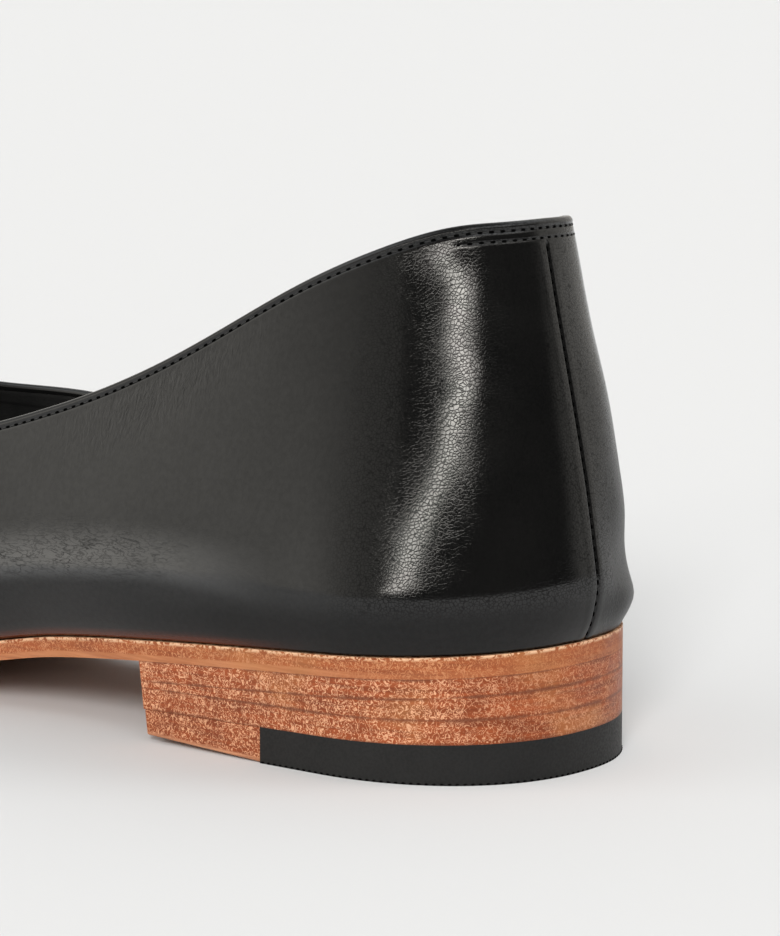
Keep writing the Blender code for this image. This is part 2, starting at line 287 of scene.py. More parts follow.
# Sanded leather edges: three colours, then how strong the squiggles are, the share of the edge's height below
# which they give way to a plain band, and how strong the dark joints and the torn fibres at the top are
Edge = namedtuple("Edge", "dark middle pale squiggles plain_below joint fibres")
STACKED = Edge((0.165, 0.033, 0.008), (0.28, 0.062, 0.017), (0.66, 0.345, 0.195), 0.92, -0.2, 0.85, 0.0)
TOP_PIECE = Edge((0.145, 0.028, 0.007), (0.24, 0.052, 0.014), (0.60, 0.300, 0.165), 0.95, 0.13, 0.0, 0.0)
TAN_SOLE = Edge((0.215, 0.052, 0.015), (0.31, 0.082, 0.025), (0.49, 0.215, 0.098), 0.9, 0.32, 0.10, 0.85)

# Panels of light round the shoe. Azimuth runs from the outer side (0) towards the back (90) and rise up from
# the floor, each as (from, to, soft margin) in degrees. Brightness goes from first to last across the panel,
# and the panel leans by lean, and bends, as it rises.
Panel = namedtuple("Panel", "azimuth rise first last lean bend", defaults=(0.0, 0.0))
PANELS = (
    Panel((-8.5, -2.5, 4), (8.5, 22, 3), 11.5, 11.5, 0.51, 0.0724),
    Panel((-13, 5, 5), (19.8, 22, 0.9), 6.0, 6.0, 0.51, 0.0724),
    Panel((-60, -2, 8), (-14, 60, 10), 1.45, 0.37),
    Panel((-105, -66, 6), (-10, 45, 10), 0.5, 0.5),
    Panel((136, 180, 16), (-20, 60, 20), 0.62, 0.80),
    Panel((-180, -112, 8), (-20, 60, 20), 0.65, 0.65),
    Panel((40, 118, 14), (30, 52, 10), 1.3, 1.3),
    Panel((-180, 180, 1), (42, 90, 12), 0.23, 0.23),
)
ROOM_LIGHT = 0.07
WARM_LIGHT = (1.0, 0.968, 0.90)
COOL_LIGHT = (0.97, 0.99, 1.0)
COOLING_RISE = (24.0, 44.0)

# Lamps far off, by direction from the shoe and breadth in degrees, and light on a face turned to them
Lamp = namedtuple("Lamp", "name azimuth rise breadth light")
LAMPS = (
    Lamp("key", 32.0, 27.0, 16.0, 2.35),
    Lamp("fill", 128.0, 42.0, 24.0, 0.58),
)

# The photograph's camera: direction from the shoe in degrees, distance, the point that it looks at, and its
# focal length in pixels of the photograph's height
CAMERA_AZIMUTH = 39.3
CAMERA_RISE = 8.5
CAMERA_DISTANCE = 600 * MM
CAMERA_TARGET = np.array([38.0, 0.0, 42.5]) * MM
FOCAL_PIXELS = 3869.4
PHOTO_PIXELS = 936
SENSOR = 36

# Mesh counts, and the distances of the finer rows below the topline and columns beside the back seam
LOOP_POINTS = 420
SOLE_STATIONS = 150
HEEL_STATIONS = 70
SOLE_STRIPS = 10
RIM_STEPS = 8
RIM_ROWS = np.arange(0.9, 4.5, 0.18) * MM
WALL_ROWS = 60
WALL_SAMPLES = 301
LOOP_SAMPLES = 4001
SIDE_SAMPLES = 3001
SEAM_COLUMNS = np.arange(0.12, 3.0, 0.12) * MM
WALK_REACH = 0.2 * MM


def steady_curve(knots, values, x):
    """A smooth curve through the values that never overshoots them, and is flat where two of them agree."""
    knots, values = np.asarray(knots, float), np.asarray(values, float)
    steps = np.diff(knots)
    rates = np.diff(values) / steps
    slopes = np.zeros(len(knots))
    slopes[0], slopes[-1] = rates[0], rates[-1]
    before, after = rates[:-1], rates[1:]
    rising = before * after > 0
    slopes[1:-1][rising] = 2 * before[rising] * after[rising] / (before + after)[rising]
    i = np.clip(np.searchsorted(knots, x) - 1, 0, len(steps) - 1)
    t = (np.asarray(x, float) - knots[i]) / steps[i]
    start = values[i] * (1 + 2 * t) * (1 - t) ** 2 + slopes[i] * steps[i] * t * (1 - t) ** 2
    end = values[i + 1] * (3 - 2 * t) * t**2 - slopes[i + 1] * steps[i] * t**2 * (1 - t)
    return start + end


def closed_spline(rows, place):
    """Points on a smooth closed spline through the rows, at the given row numbers."""
    rows = np.asarray(rows, float)
    size = len(rows)
    nearby = np.roll(np.eye(size), 1, axis=0) + np.roll(np.eye(size), -1, axis=0)
    bends = np.linalg.solve(4 * np.eye(size) + nearby, 6 * (nearby @ rows - 2 * rows))
    place = np.mod(place, size)
    i = np.minimum(place.astype(int), size - 1)
    t = (place - i)[:, None]
    s = 1 - t
    after = (i + 1) % size
    return s * rows[i] + t * rows[after] + ((s**3 - s) * bends[i] + (t**3 - t) * bends[after]) / 6


def smooth_step(low, high, x):
    """0 below low, 1 above high, and smooth between them."""
    t = np.clip((x - low) / (high - low), 0, 1)
    return t * t * (3 - 2 * t)


def fade_in(span, x):
    """0 before the span, 1 after it."""
    return smooth_step(*span, x)


def fade_out(span, x):
    """1 before the span, 0 after it."""
    return 1 - smooth_step(*span, x)


def hump(middle, width, x):
    """1 at the middle, falling to 0 over about twice the width."""
    return np.exp(-(((x - middle) / width) ** 2))


def unit(vectors):
    """The vectors at length 1."""
    return vectors / np.linalg.norm(vectors, axis=-1, keepdims=True)


def walked_along(points):
    """Distance walked along a line of points, or along several side by side, up to each of them."""
    steps = np.linalg.norm(np.diff(points, axis=0), axis=-1)
    return np.concatenate([0 * steps[:1], np.cumsum(steps, axis=0)])


def between(place, known, table):
    """The row of the table at the place, worked out from the rows at the known places."""
    return np.array([np.interp(place, known, column) for column in table.T])


def sole_top(x):
    """Height of the outsole's upper side at x."""
    return steady_curve([p.along * SOLE_LENGTH for p in PROFILES], [p.height for p in PROFILES], x)


def sole_bottom(x):
    """Height of the outsole's lower side at x."""
    return sole_top(x) - OUTSOLE_THICKNESS


def axis_bend(x):
    """How far the sole's axis has turned towards the big toe at x."""
    share = np.clip((x - TOE_BEND_START) / (SOLE_LENGTH - TOE_BEND_START), 0, 1)
    return -TOE_BEND * share**2


def end_rounding(x):
    """1 along the sole's middle, falling to 0 round the heel and round the toe."""
    heel = np.clip(1 - x / HEEL_ROUND_LENGTH, 0, 1)
    toe = np.clip((x - TOE_ROUND_START) / (SOLE_LENGTH - TOE_ROUND_START), 0, 1)
    heel_part = (1 - heel**HEEL_ROUND_POWER) ** (1 / HEEL_ROUND_POWER)
    return heel_part * (1 - toe**TOE_ROUND_POWER) ** (1 / TOE_ROUND_POWER)


def sole_edge(x, side):
    """y of the outsole's edge at x, on the lateral (+1) or the medial (-1) side."""
    knots = [g.along * SOLE_LENGTH for g in GIRTHS]
    shares = [g.lateral if side > 0 else g.medial for g in GIRTHS]
    half = steady_curve(knots, shares, x) * BALL_WIDTH * end_rounding(x)
    return axis_bend(x) + side * half


def section_columns(place):
    """The section table's columns round the shoe: back, lateral side, toe, medial side."""
    rows = []
    for k in range(2 * SECTION_STEPS):
        lateral = k <= SECTION_STEPS
        row = SECTIONS[k if lateral else 2 * SECTION_STEPS - k]
        half = row.lateral if lateral else -row.medial
        curve = (row.rise, row.out, row.up, row.over, row.down, row.fan)
        rows.append((row.sole, row.inset, row.top, half, *curve))
    return closed_spline(rows, place).T


def edge_points(place):
    """Plan points of the sole's edge at the given row numbers."""
    x = np.clip(section_columns(place)[0], 0, 1) * SOLE_LENGTH
    lateral = np.mod(place, 2 * SECTION_STEPS) <= SECTION_STEPS
    return np.column_stack([x, np.where(lateral, sole_edge(x, 1), sole_edge(x, -1))])


def edge_normals(place):
    """Unit outward normals of the sole's edge at the given row numbers."""
    reach = 0.3
    along = edge_points(place + reach) - edge_points(place - reach)
    return unit(np.column_stack([-along[:, 1], along[:, 0]]))


def loop_places():
    """Row numbers evenly spaced along the sole's edge, with more of them beside the back seam."""
    fine = np.linspace(0, 2 * SECTION_STEPS, LOOP_SAMPLES)
    walked = walked_along(edge_points(fine))
    total = walked[-1]
    even = np.linspace(0, total, LOOP_POINTS, endpoint=False)
    wanted = np.unique(np.concatenate([even, SEAM_COLUMNS, total - SEAM_COLUMNS]))
    return np.interp(wanted, walked, fine), wanted


def wall_curves(place):
    """The four handles of the upper's wall curve at the given row numbers."""
    _, inset, top, half, rise, out, up, over, down, fan = section_columns(place)
    normals = edge_normals(place)
    feather = edge_points(place) - np.reshape(inset * MM, (-1, 1)) * normals
    foot = np.column_stack([feather, sole_top(feather[:, 0]) + GAP])
    top_x = top * SOLE_LENGTH
    top_z = sole_top(top_x) + rise * BACK_RISE
    collar = np.column_stack([top_x, axis_bend(top_x) + half * BALL_WIDTH, top_z])
    level = np.column_stack([normals, np.zeros(len(normals))])
    ahead = unit((foot - collar) * (1, 1, 0))
    lean = unit(level + fan[:, None] * (ahead - level))
    upright = np.array([0, 0, 1])
    bulge = foot + MM * (out[:, None] * level + up[:, None] * upright)
    shoulder = collar + MM * (over[:, None] * lean - down[:, None] * upright)
    return foot, bulge, shoulder, collar


def on_curve(handles, t):
    """Points at the share t of the wall curves, 0 at the sole and 1 at the topline."""
    foot, bulge, shoulder, collar = handles
    t = np.asarray(t)[..., None]
    s = 1 - t
    return s**3 * foot + 3 * s**2 * t * bulge + 3 * s * t**2 * shoulder + t**3 * collar


def wall_grid(place, near_rows, far_rows):
    """The upper's outer face as rows down from the topline, with each point's distance from the topline.

    near_rows are distances below the topline. far_rows are shares of what is left below the last of them.
    """
    handles = wall_curves(place)
    shares = np.linspace(1, 0, WALL_SAMPLES)
    curves = np.array([on_curve(handles, np.full(len(place), t)) for t in shares])
    walked = walked_along(curves)
    last = near_rows[-1]
    depth = np.array([np.full(len(place), row) for row in near_rows])
    left = walked[-1] - last
    depth = np.vstack([depth, last + np.outer(far_rows, left)])
    t = np.empty_like(depth)
    for k in range(len(place)):
        t[:, k] = np.interp(depth[:, k], walked[:, k], shares)
    points = np.array([on_curve(handles, row) for row in t])
    return points, depth


def grid_normals(points):
    """Unit outward normals of rows of points that run down the wall, each row a loop round the shoe."""
    around = np.roll(points, -1, axis=1) - np.roll(points, 1, axis=1)
    down = np.gradient(points, axis=0)
    return unit(np.cross(around, down))


def soft_noise(points, size, seed):
    """Smooth noise between about -1 and 1 at the points, in waves of that size."""
    flat = points.reshape(-1, 3) / size + seed
    values = [noise.noise(Vector(p)) for p in flat]
    return np.array(values).reshape(points.shape[:-1])


def ridge_height(x):
    """How high above the sole the leather's ridge runs, higher towards the waist."""
    return FEATHER_RIDGE.height + WAIST_RIDGE_RISE * fade_in(RIDGE_CLIMB, x)


def drawn_form(points):
    """How far the leather stands off the plain last: its ridge above the sole and the fuller inner heel."""
    x, y, z = np.moveaxis(points, 2, 0)
    height = z - sole_top(x)
    waist = fade_in(WAIST_START, x)
    softness = FEATHER_RIDGE_ROUND + (WAIST_RIDGE_ROUND - FEATHER_RIDGE_ROUND) * waist
    away = np.sqrt((height - ridge_height(x)) ** 2 + softness**2) - softness
    ridge = FEATHER_RIDGE.size * np.exp(-away / FEATHER_RIDGE.width) * (1 + WAIST_RIDGE_GROWTH * waist)
    ridge = ridge * fade_in(RIDGE_FOOT, height) * fade_out(RIDGE_END, x)
    inner_back = fade_in(INNER_HEEL, -y) * fade_out(INNER_HEEL_END, x)
    fullness = sum(r.size * hump(r.height, r.width, height) for r in INNER_HEEL_RIDGES)
    return ridge * (1 - inner_back) + fullness * fade_in(FULLNESS_FOOT, height) * inner_back


def relief(points, depth):
    """How far the upper's skin stands out from its smooth form: fold, stitch troughs, seam and undulation."""
    x, y, z = np.moveaxis(points, 2, 0)
    height = z - sole_top(x)
    fold = FOLD_HEIGHT * hump(*FOLD_BAND, depth)
    trough = STITCH_TROUGH * hump(STITCH_ROW, TROUGH_WIDTH, depth)
    second_trough = SECOND_TROUGH * hump(SECOND_ROW, TROUGH_WIDTH, depth) * fade_out(SECOND_ROW_END, x[:1])
    seam = fade_out(SEAM_END, x) * fade_in(SEAM_START, depth)
    groove = SEAM_DEPTH * hump(SEAM_OFFSET, SEAM_WIDTH, y)
    lips = SEAM_LIP * hump(*LIP_BAND, np.abs(y))
    wander = WANDER * soft_noise(points, WANDER_SIZE, seed=3.1)
    wander = wander + FINE_WANDER * soft_noise(points, FINE_WANDER_SIZE, seed=8.7)
    wander = wander * fade_in(WANDER_START, depth) * fade_in(WANDER_FOOT, height)
    return fold - trough - second_trough + (lips - groove) * seam + wander


def wall_thickness(depth):
    """Thickness of leather and lining, thin at the folded rim, with a step where the turned-in edge ends."""
    full = RIM_WALL + (UPPER_WALL - RIM_WALL) * fade_in(FULL_WALL, depth)
    return full + TURNED_EDGE * fade_in(TURNED_EDGE_START, depth) * fade_out(TURNED_EDGE_END, depth)


def new_object(name, data):
    """An object of the data, placed in the scene."""
    obj = bpy.data.objects.new(name, data)
    bpy.context.scene.collection.objects.link(obj)
    return obj


def smooth_object(name, mesh, materials, crease_degrees):
    """A smooth-shaded object of the mesh that rides on the shoe's one body."""
    for material in materials:
        mesh.materials.append(material)
    mesh.shade_smooth()
    mesh.set_sharp_from_angle(angle=math.radians(crease_degrees))
    obj = new_object(name, mesh)
    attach(obj, "root")
    return obj


def mesh_object(name, verts, faces, materials, crease_degrees):
    """A smooth-shaded object of the vertices and faces, carried from the shoe's sizes to the frame."""
    mesh = bpy.data.meshes.new(name)
    mesh.from_pydata([tuple(v) for v in verts + SHIFT], [], faces)
    return smooth_object(name, mesh, materials, crease_degrees)


def ring_faces(rings, size, closed):
    """Four-sided faces between rings of points. Where closed, the last ring is joined to the first."""
    faces = []
    for j in range(rings if closed else rings - 1):
        here, above = j * size, (j + 1) % rings * size
        for i in range(size):
            k = (i + 1) % size
            faces.append((here + i, here + k, above + k, above + i))
    return faces


def make_upper(leather, lining):
    """The upper: outer leather, rounded rim, inner lining and lower edge as one closed skin.

    Returns its smooth wall as rows of points, their normals and their distances below the topline.
    """
    place, walked = loop_places()
    half_rim = RIM_WALL / 2
    near_rows = np.concatenate([[half_rim], RIM_ROWS])
    far_rows = np.linspace(0, 1, WALL_ROWS + 1)[1:]
    base, depth = wall_grid(place, near_rows, far_rows)
    level = grid_normals(base) * (1, 1, 0)
    base = base + level * drawn_form(base)[:, :, None]
    normals = grid_normals(base)
    outer = base + normals * relief(base, depth)[:, :, None]
    inner = base - normals * wall_thickness(depth)[:, :, None]
    rise = unit(base[0] - base[1])
    rim = []
    for angle in np.linspace(0, math.pi, RIM_STEPS + 1)[1:-1]:
        swing = math.cos(angle) * normals[0] + math.sin(angle) * rise
        rim.append((outer[0] + inner[0]) / 2 + half_rim * swing)
    # The lining needs only every second row
    kept = np.union1d([0], np.arange(len(inner) - 1, 0, -2))
    rows = np.vstack([outer[::-1], np.array(rim), inner[kept]])
    count, round_count = rows.shape[:2]
    faces = ring_faces(count, round_count, closed=True)
    obj = mesh_object("upper_leather", rows.reshape(-1, 3), faces, [leather, lining], crease_degrees=60)
    lined = np.arange(count) > len(outer) + len(rim)
    obj.data.polygons.foreach_set("material_index", np.repeat(lined, round_count).astype(np.int32))
    add_upper_fields(obj, rows, len(outer), depth, walked)
    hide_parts("upper")
    return base, normals, depth


def add_upper_fields(obj, rows, outer_count, depth, walked):
    """Masks for the shader, stored on the points: where the leather's looks change, and a map of the wall."""
    count, round_count = rows.shape[:2]
    down = np.zeros((count, round_count))
    down[:outer_count] = depth[::-1]
    x, y, z = np.moveaxis(rows, 2, 0)
    height = z - sole_top(x)
    above = height - ridge_height(x)
    heel = fade_out(HEEL_GRAIN_END, x)
    under = fade_out(UNDER_TOP, height)
    inner_low = fade_in(INNER_LOW, -y) * fade_out(INNER_LOW_TOP, height)
    sheen = fade_in(SHEEN_START, x) * fade_in(SHEEN_FOOT, above) * fade_out(SHEEN_TOP, above)
    fields = {
        "top_wrinkles": hump(*WRINKLE_BAND, x) * fade_in(WRINKLE_START, down) * fade_out(WRINKLE_END, down),
        "low_wrinkles": hump(*CRACKLE_BAND, above) * fade_in(CRACKLE_START, x) * fade_out(SHEEN_END, x),
        # painted sheen: extra coat gloss in a band above the waist ridge
        "painted_sheen": sheen * fade_out(SHEEN_END, x),
        "grain": PLAIN_GRAIN + (1 - PLAIN_GRAIN) * heel * (1 - under),
        "inner_grain": heel * fade_in(INNER_GRAIN, -y),
        # painted shade: weaker reflection low on the wall under the ridge and low on the inner heel
        "shade": (1 - UNDER_SHADE * under * fade_out(UNDER_SHADE_END, x)) * (1 - INNER_SHADE * inner_low),
        "dull": inner_low,
        # painted reflection: the tan sole's reddish brown mirrored along the upper's foot
        "sole_reflection": fade_out(SOLE_REFLECTION_TOP, height) * fade_in(SOLE_REFLECTION_START, x) * fade_out(SOLE_REFLECTION_END, x),
        "down": down,
        "along": np.broadcast_to(walked, (count, round_count)),
    }
    for name, values in fields.items():
        layer = obj.data.attributes.new(name, "FLOAT", "POINT")
        layer.data.foreach_set("value", np.ascontiguousarray(values, np.float32).ravel())


def capsule(length, radius, flat):
    """Points and faces of a small flattened capsule along x, with its flat way along z."""
    around, along = 8, 6
    points = []
    for j in range(along + 1):
        angle = math.pi * j / along
        x = -math.cos(angle) * length / 2
        ring = math.sin(angle) ** 0.7 * radius
        for i in range(around):
            turn = 2 * math.pi * i / around
            points.append((x, ring * math.cos(turn), flat * ring * math.sin(turn)))
    return np.array(points), ring_faces(along + 1, around, closed=False)


def scatter(name, spots, shape, material):
    """One joined mesh of the shape at each spot, given as (place, along, outward)."""
    points, faces = shape
    verts = []
    all_faces = []
    for place, along, outward in spots:
        along = unit(along)
        side = unit(np.cross(outward, along))
        up = np.cross(along, side)
        start = len(verts) * len(points)
        verts.append(place + points @ np.array([along, side, up]))
        all_faces.extend(tuple(start + v for v in face) for face in faces)
    obj = mesh_object(name, np.vstack(verts), all_faces, [material], crease_degrees=180)


def walk(points, normals, pitch, start, closed=True):
    """Spots every pitch along a line of points: place, direction and outward normal."""
    if closed:
        points = np.vstack([points, points[:1]])
        normals = np.vstack([normals, normals[:1]])
    walked = walked_along(points)
    count = int(walked[-1] / pitch)
    wanted = start * pitch + np.arange(count) * walked[-1] / count
    spots = []
    for w in wanted:
        along = between(w + WALK_REACH, walked, points) - between(w - WALK_REACH, walked, points)
        spots.append((between(w, walked, points), along, unit(between(w, walked, normals))))
    return spots


def row_at(base, normals, depth, wanted):
    """The loop round the shoe at that distance below the topline, with its normals."""
    points = np.empty(base.shape[1:])
    outward = np.empty_like(points)
    for i in range(base.shape[1]):
        points[i] = between(wanted, depth[:, i], base[:, i])
        outward[i] = between(wanted, depth[:, i], normals[:, i])
    return points, outward


def sink(spots, amount):
    """The same spots moved inwards by the amount."""
    return [(place - outward * amount, along, outward) for place, along, outward in spots]


def make_stitches(base, normals, depth, thread, hole_shade):
    """The stitch rows below the topline, the holes between the stitches as painted shade, and the back seam's
    stitches, also in painted shade.
    """
    stitches = []
    holes = []
    for below, reach in ((STITCH_ROW, SOLE_LENGTH), (SECOND_ROW, SECOND_ROW_REACH)):
        row = row_at(base, normals, depth, below)
        stitches += [spot for spot in walk(*row, STITCH_PITCH, start=0.0) if spot[0][0] < reach]
        holes += [spot for spot in walk(*row, STITCH_PITCH, start=0.5) if spot[0][0] < reach]
    stitch = capsule(STITCH_LENGTH, THREAD_RADIUS, flat=0.8)
    scatter("topline_stitches", sink(stitches, STITCH_SINK), stitch, thread)
    # Painted shade: a dark unreflecting slit stands for each needle hole
    slit = capsule(HOLE_LENGTH, HOLE_RADIUS, flat=0.4)
    scatter("topline_stitch_hole_shade", sink(holes, HOLE_SINK), slit, hole_shade)
    on_seam = depth[:, 0] > SEAM_STITCH_START
    seam = base[on_seam, 0] + np.array([0, SEAM_STITCH_OFFSET, 0])
    spots = walk(seam, normals[on_seam, 0], SEAM_PITCH, start=0.5, closed=False)
    seam_stitch = capsule(SEAM_STITCH_LENGTH, SEAM_STITCH_RADIUS, flat=0.7)
    # The back seam's stitches wear the painted hole shade, to read as dark dots in the groove
    scatter("back_seam_stitches", sink(spots, SEAM_STITCH_SINK), seam_stitch, hole_shade)


def plate_mesh(name, sides, top, bottom, material, bevel, strips=1, lean=0.0):
    """A plate between two edges given as plan points, from the height top(x) down to bottom(x).

    Its front leans forward by lean per height.
    """
    lateral, medial = sides
    front = lateral[-1][0]
    bm = bmesh.new()
    level_field = bm.verts.layers.float.new("level")
    rows = []
    for side_height in (top, bottom):
        level = []
        for j in range(len(lateral)):
            line = []
            for i in range(strips + 1):
                x, y = medial[j] + (lateral[j] - medial[j]) * i / strips
                z = float(side_height(x))
                forward = lean * (z - bottom(front)) * smooth_step(front - LEAN_REACH, front, x)
                vert = bm.verts.new((x + forward, y, z))
                vert[level_field] = 1.0 if side_height is top else 0.0
                line.append(vert)
            level.append(line)
        rows.append(level)
    for level in rows:
        for j in range(len(lateral) - 1):
            for i in range(strips):
                bm.faces.new((level[j][i], level[j][i + 1], level[j + 1][i + 1], level[j + 1][i]))
    upper, lower = rows
    last = len(lateral) - 1
    for j in range(last):
        for i in (0, strips):
            bm.faces.new((upper[j][i], upper[j + 1][i], lower[j + 1][i], lower[j][i]))
    for j in (0, last):
        for i in range(strips):
            bm.faces.new((upper[j][i], upper[j][i + 1], lower[j][i + 1], lower[j][i]))
    bmesh.ops.remove_doubles(bm, verts=bm.verts, dist=0.002 * MM)
    bmesh.ops.recalc_face_normals(bm, faces=bm.faces)
    bmesh.ops.translate(bm, verts=bm.verts, vec=Vector(SHIFT))
    mesh = bpy.data.meshes.new(name)
    bm.to_mesh(mesh)
    bm.free()
    obj = smooth_object(name, mesh, [material], crease_degrees=40)
    rounded = obj.modifiers.new("rounded edges", "BEVEL")
    rounded.width = bevel
    rounded.segments = 3
    rounded.limit_method = "ANGLE"
    rounded.angle_limit = math.radians(55)
    rounded.harden_normals = True
    return obj


def sole_sides(inset_extra):
    """The lateral and the medial edge of the sole from heel to toe, set in by a function of the inset."""
    fine = np.linspace(0, SECTION_STEPS, SIDE_SAMPLES)
    walked = walked_along(edge_points(fine))
    place = np.interp(np.linspace(0, walked[-1], SOLE_STATIONS), walked, fine)
    sides = []
    for rows in (place, 2 * SECTION_STEPS - place):
        inset = inset_extra(section_columns(rows)[1] * MM)
        sides.append(edge_points(rows) - np.reshape(inset, (-1, 1)) * edge_normals(rows))
    return sides


def heel_sides(start, end):
    """The heel's two edges between two distances from its back, closer together round the back."""
    x = np.linspace(np.sqrt(start / end), 1, HEEL_STATIONS) ** 2 * end
    return np.column_stack([x, sole_edge(x, 1)]), np.column_stack([x, sole_edge(x, -1)])


def joint_height(joint, x):
    """Height of a joint between two heel layers at x."""
    return joint.back + (joint.breast - joint.back) * x / BREAST_TOP


def layer_top(joint, x):
    """Height of the upper side of a heel layer below the joint. The topmost layer follows the outsole."""
    if joint is UNDER_OUTSOLE:
        return sole_bottom(x) - LAYER_JOINT
    return joint_height(joint, x) - LAYER_JOINT


def last_layer_top(x):
    """Height of the upper side of the heel's lowest layer."""
    return layer_top(OVER_TOP_PIECE, x)


def top_piece_bottom(x):
    """Height of the top piece's underside, which lifts off the floor towards its front."""
    share = np.clip((x - TOP_PIECE_BACK) / (TOP_PIECE_FRONT - TOP_PIECE_BACK), 0, 1)
    return TOP_PIECE_CLEAR + (TOP_PIECE_LIFT - TOP_PIECE_CLEAR) * share


def floor_height(x):
    """The floor, on which the rubber tip stands."""
    return 0.0 * x


def insole_bottom(x):
    """Height of the insole's lower side at x."""
    return sole_top(x) + GAP


def insole_top(x):
    """Height of the insole's upper side at x."""
    return insole_bottom(x) + INSOLE_THICKNESS


def make_lifts(stacked):
    """The heel's full layers, sanded flush, with thin joints between them."""
    layers = {
        "heel_lift_lower": (UNDER_WEDGE, OVER_TOP_PIECE),
        "heel_wedge": (OVER_WEDGE, UNDER_WEDGE),
        "heel_lift_upper": (UNDER_OUTSOLE, OVER_WEDGE),
    }
    for name, (upper_joint, lower_joint) in layers.items():
        front = BREAST_TOP - BREAST_LEAN * (UNDER_OUTSOLE.breast - lower_joint.breast)
        piece = plate_mesh(
            name + "_leather",
            heel_sides(0, front),
            lambda x, joint=upper_joint: layer_top(joint, x),
            lambda x, joint=lower_joint: joint_height(joint, x),
            stacked,
            LAYER_BEVEL,
            lean=BREAST_LEAN,
        )
        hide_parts(name)


def make_top_piece(foot):
    """The leather front part of the heel's lowest layer."""
    piece = plate_mesh(
        "heel_top_piece_leather",
        heel_sides(TOP_PIECE_BACK, TOP_PIECE_FRONT),
        last_layer_top,
        top_piece_bottom,
        foot,
        TOP_PIECE_BEVEL,
        lean=BREAST_LEAN,
    )
    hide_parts("heel_top_piece")


def make_rubber_tip(rubber, hole_shade):
    """The rubber tip, with small notches along its lower edge, each a dark blob of painted shade."""
    sides = heel_sides(0, RUBBER_LENGTH)
    piece = plate_mesh(
        "heel_tip_rubber", sides, last_layer_top, floor_height, rubber, RUBBER_BEVEL
    )
    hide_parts("heel_rubber_tip")
    lateral, medial = sides
    outline = np.vstack([lateral[::-1], medial])
    points = np.column_stack([outline, np.full(len(outline), NOTCH_HEIGHT)])
    along = np.gradient(outline, axis=0)
    outward = np.column_stack([along[:, 1], -along[:, 0], np.zeros(len(outline))])
    outward = unit(outward * np.sign(outward[0, 1]))
    spots = walk(points, outward, NOTCH_PITCH, start=0.5, closed=False)
    # Painted shade: each notch is a dark unreflecting blob
    notch = capsule(NOTCH_LENGTH, NOTCH_RADIUS, flat=0.9)
    scatter("heel_tip_notch_shade", sink(spots, NOTCH_SINK), notch, hole_shade)


def make_outsole(tan):
    """The tan leather outsole."""
    sides = sole_sides(lambda inset: 0 * inset)
    piece = plate_mesh(
        "outsole_leather", sides, sole_top, sole_bottom, tan, LAYER_BEVEL, SOLE_STRIPS
    )
    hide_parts("outsole")


def make_insole(sock):
    """The lined insole, which meets the upper's wall."""
    sides = sole_sides(lambda inset: inset + UPPER_WALL + INSOLE_CLEARANCE)
    piece = plate_mesh(
        "insole_lining", sides, insole_top, insole_bottom, sock, INSOLE_BEVEL, SOLE_STRIPS
    )
    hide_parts("insole")


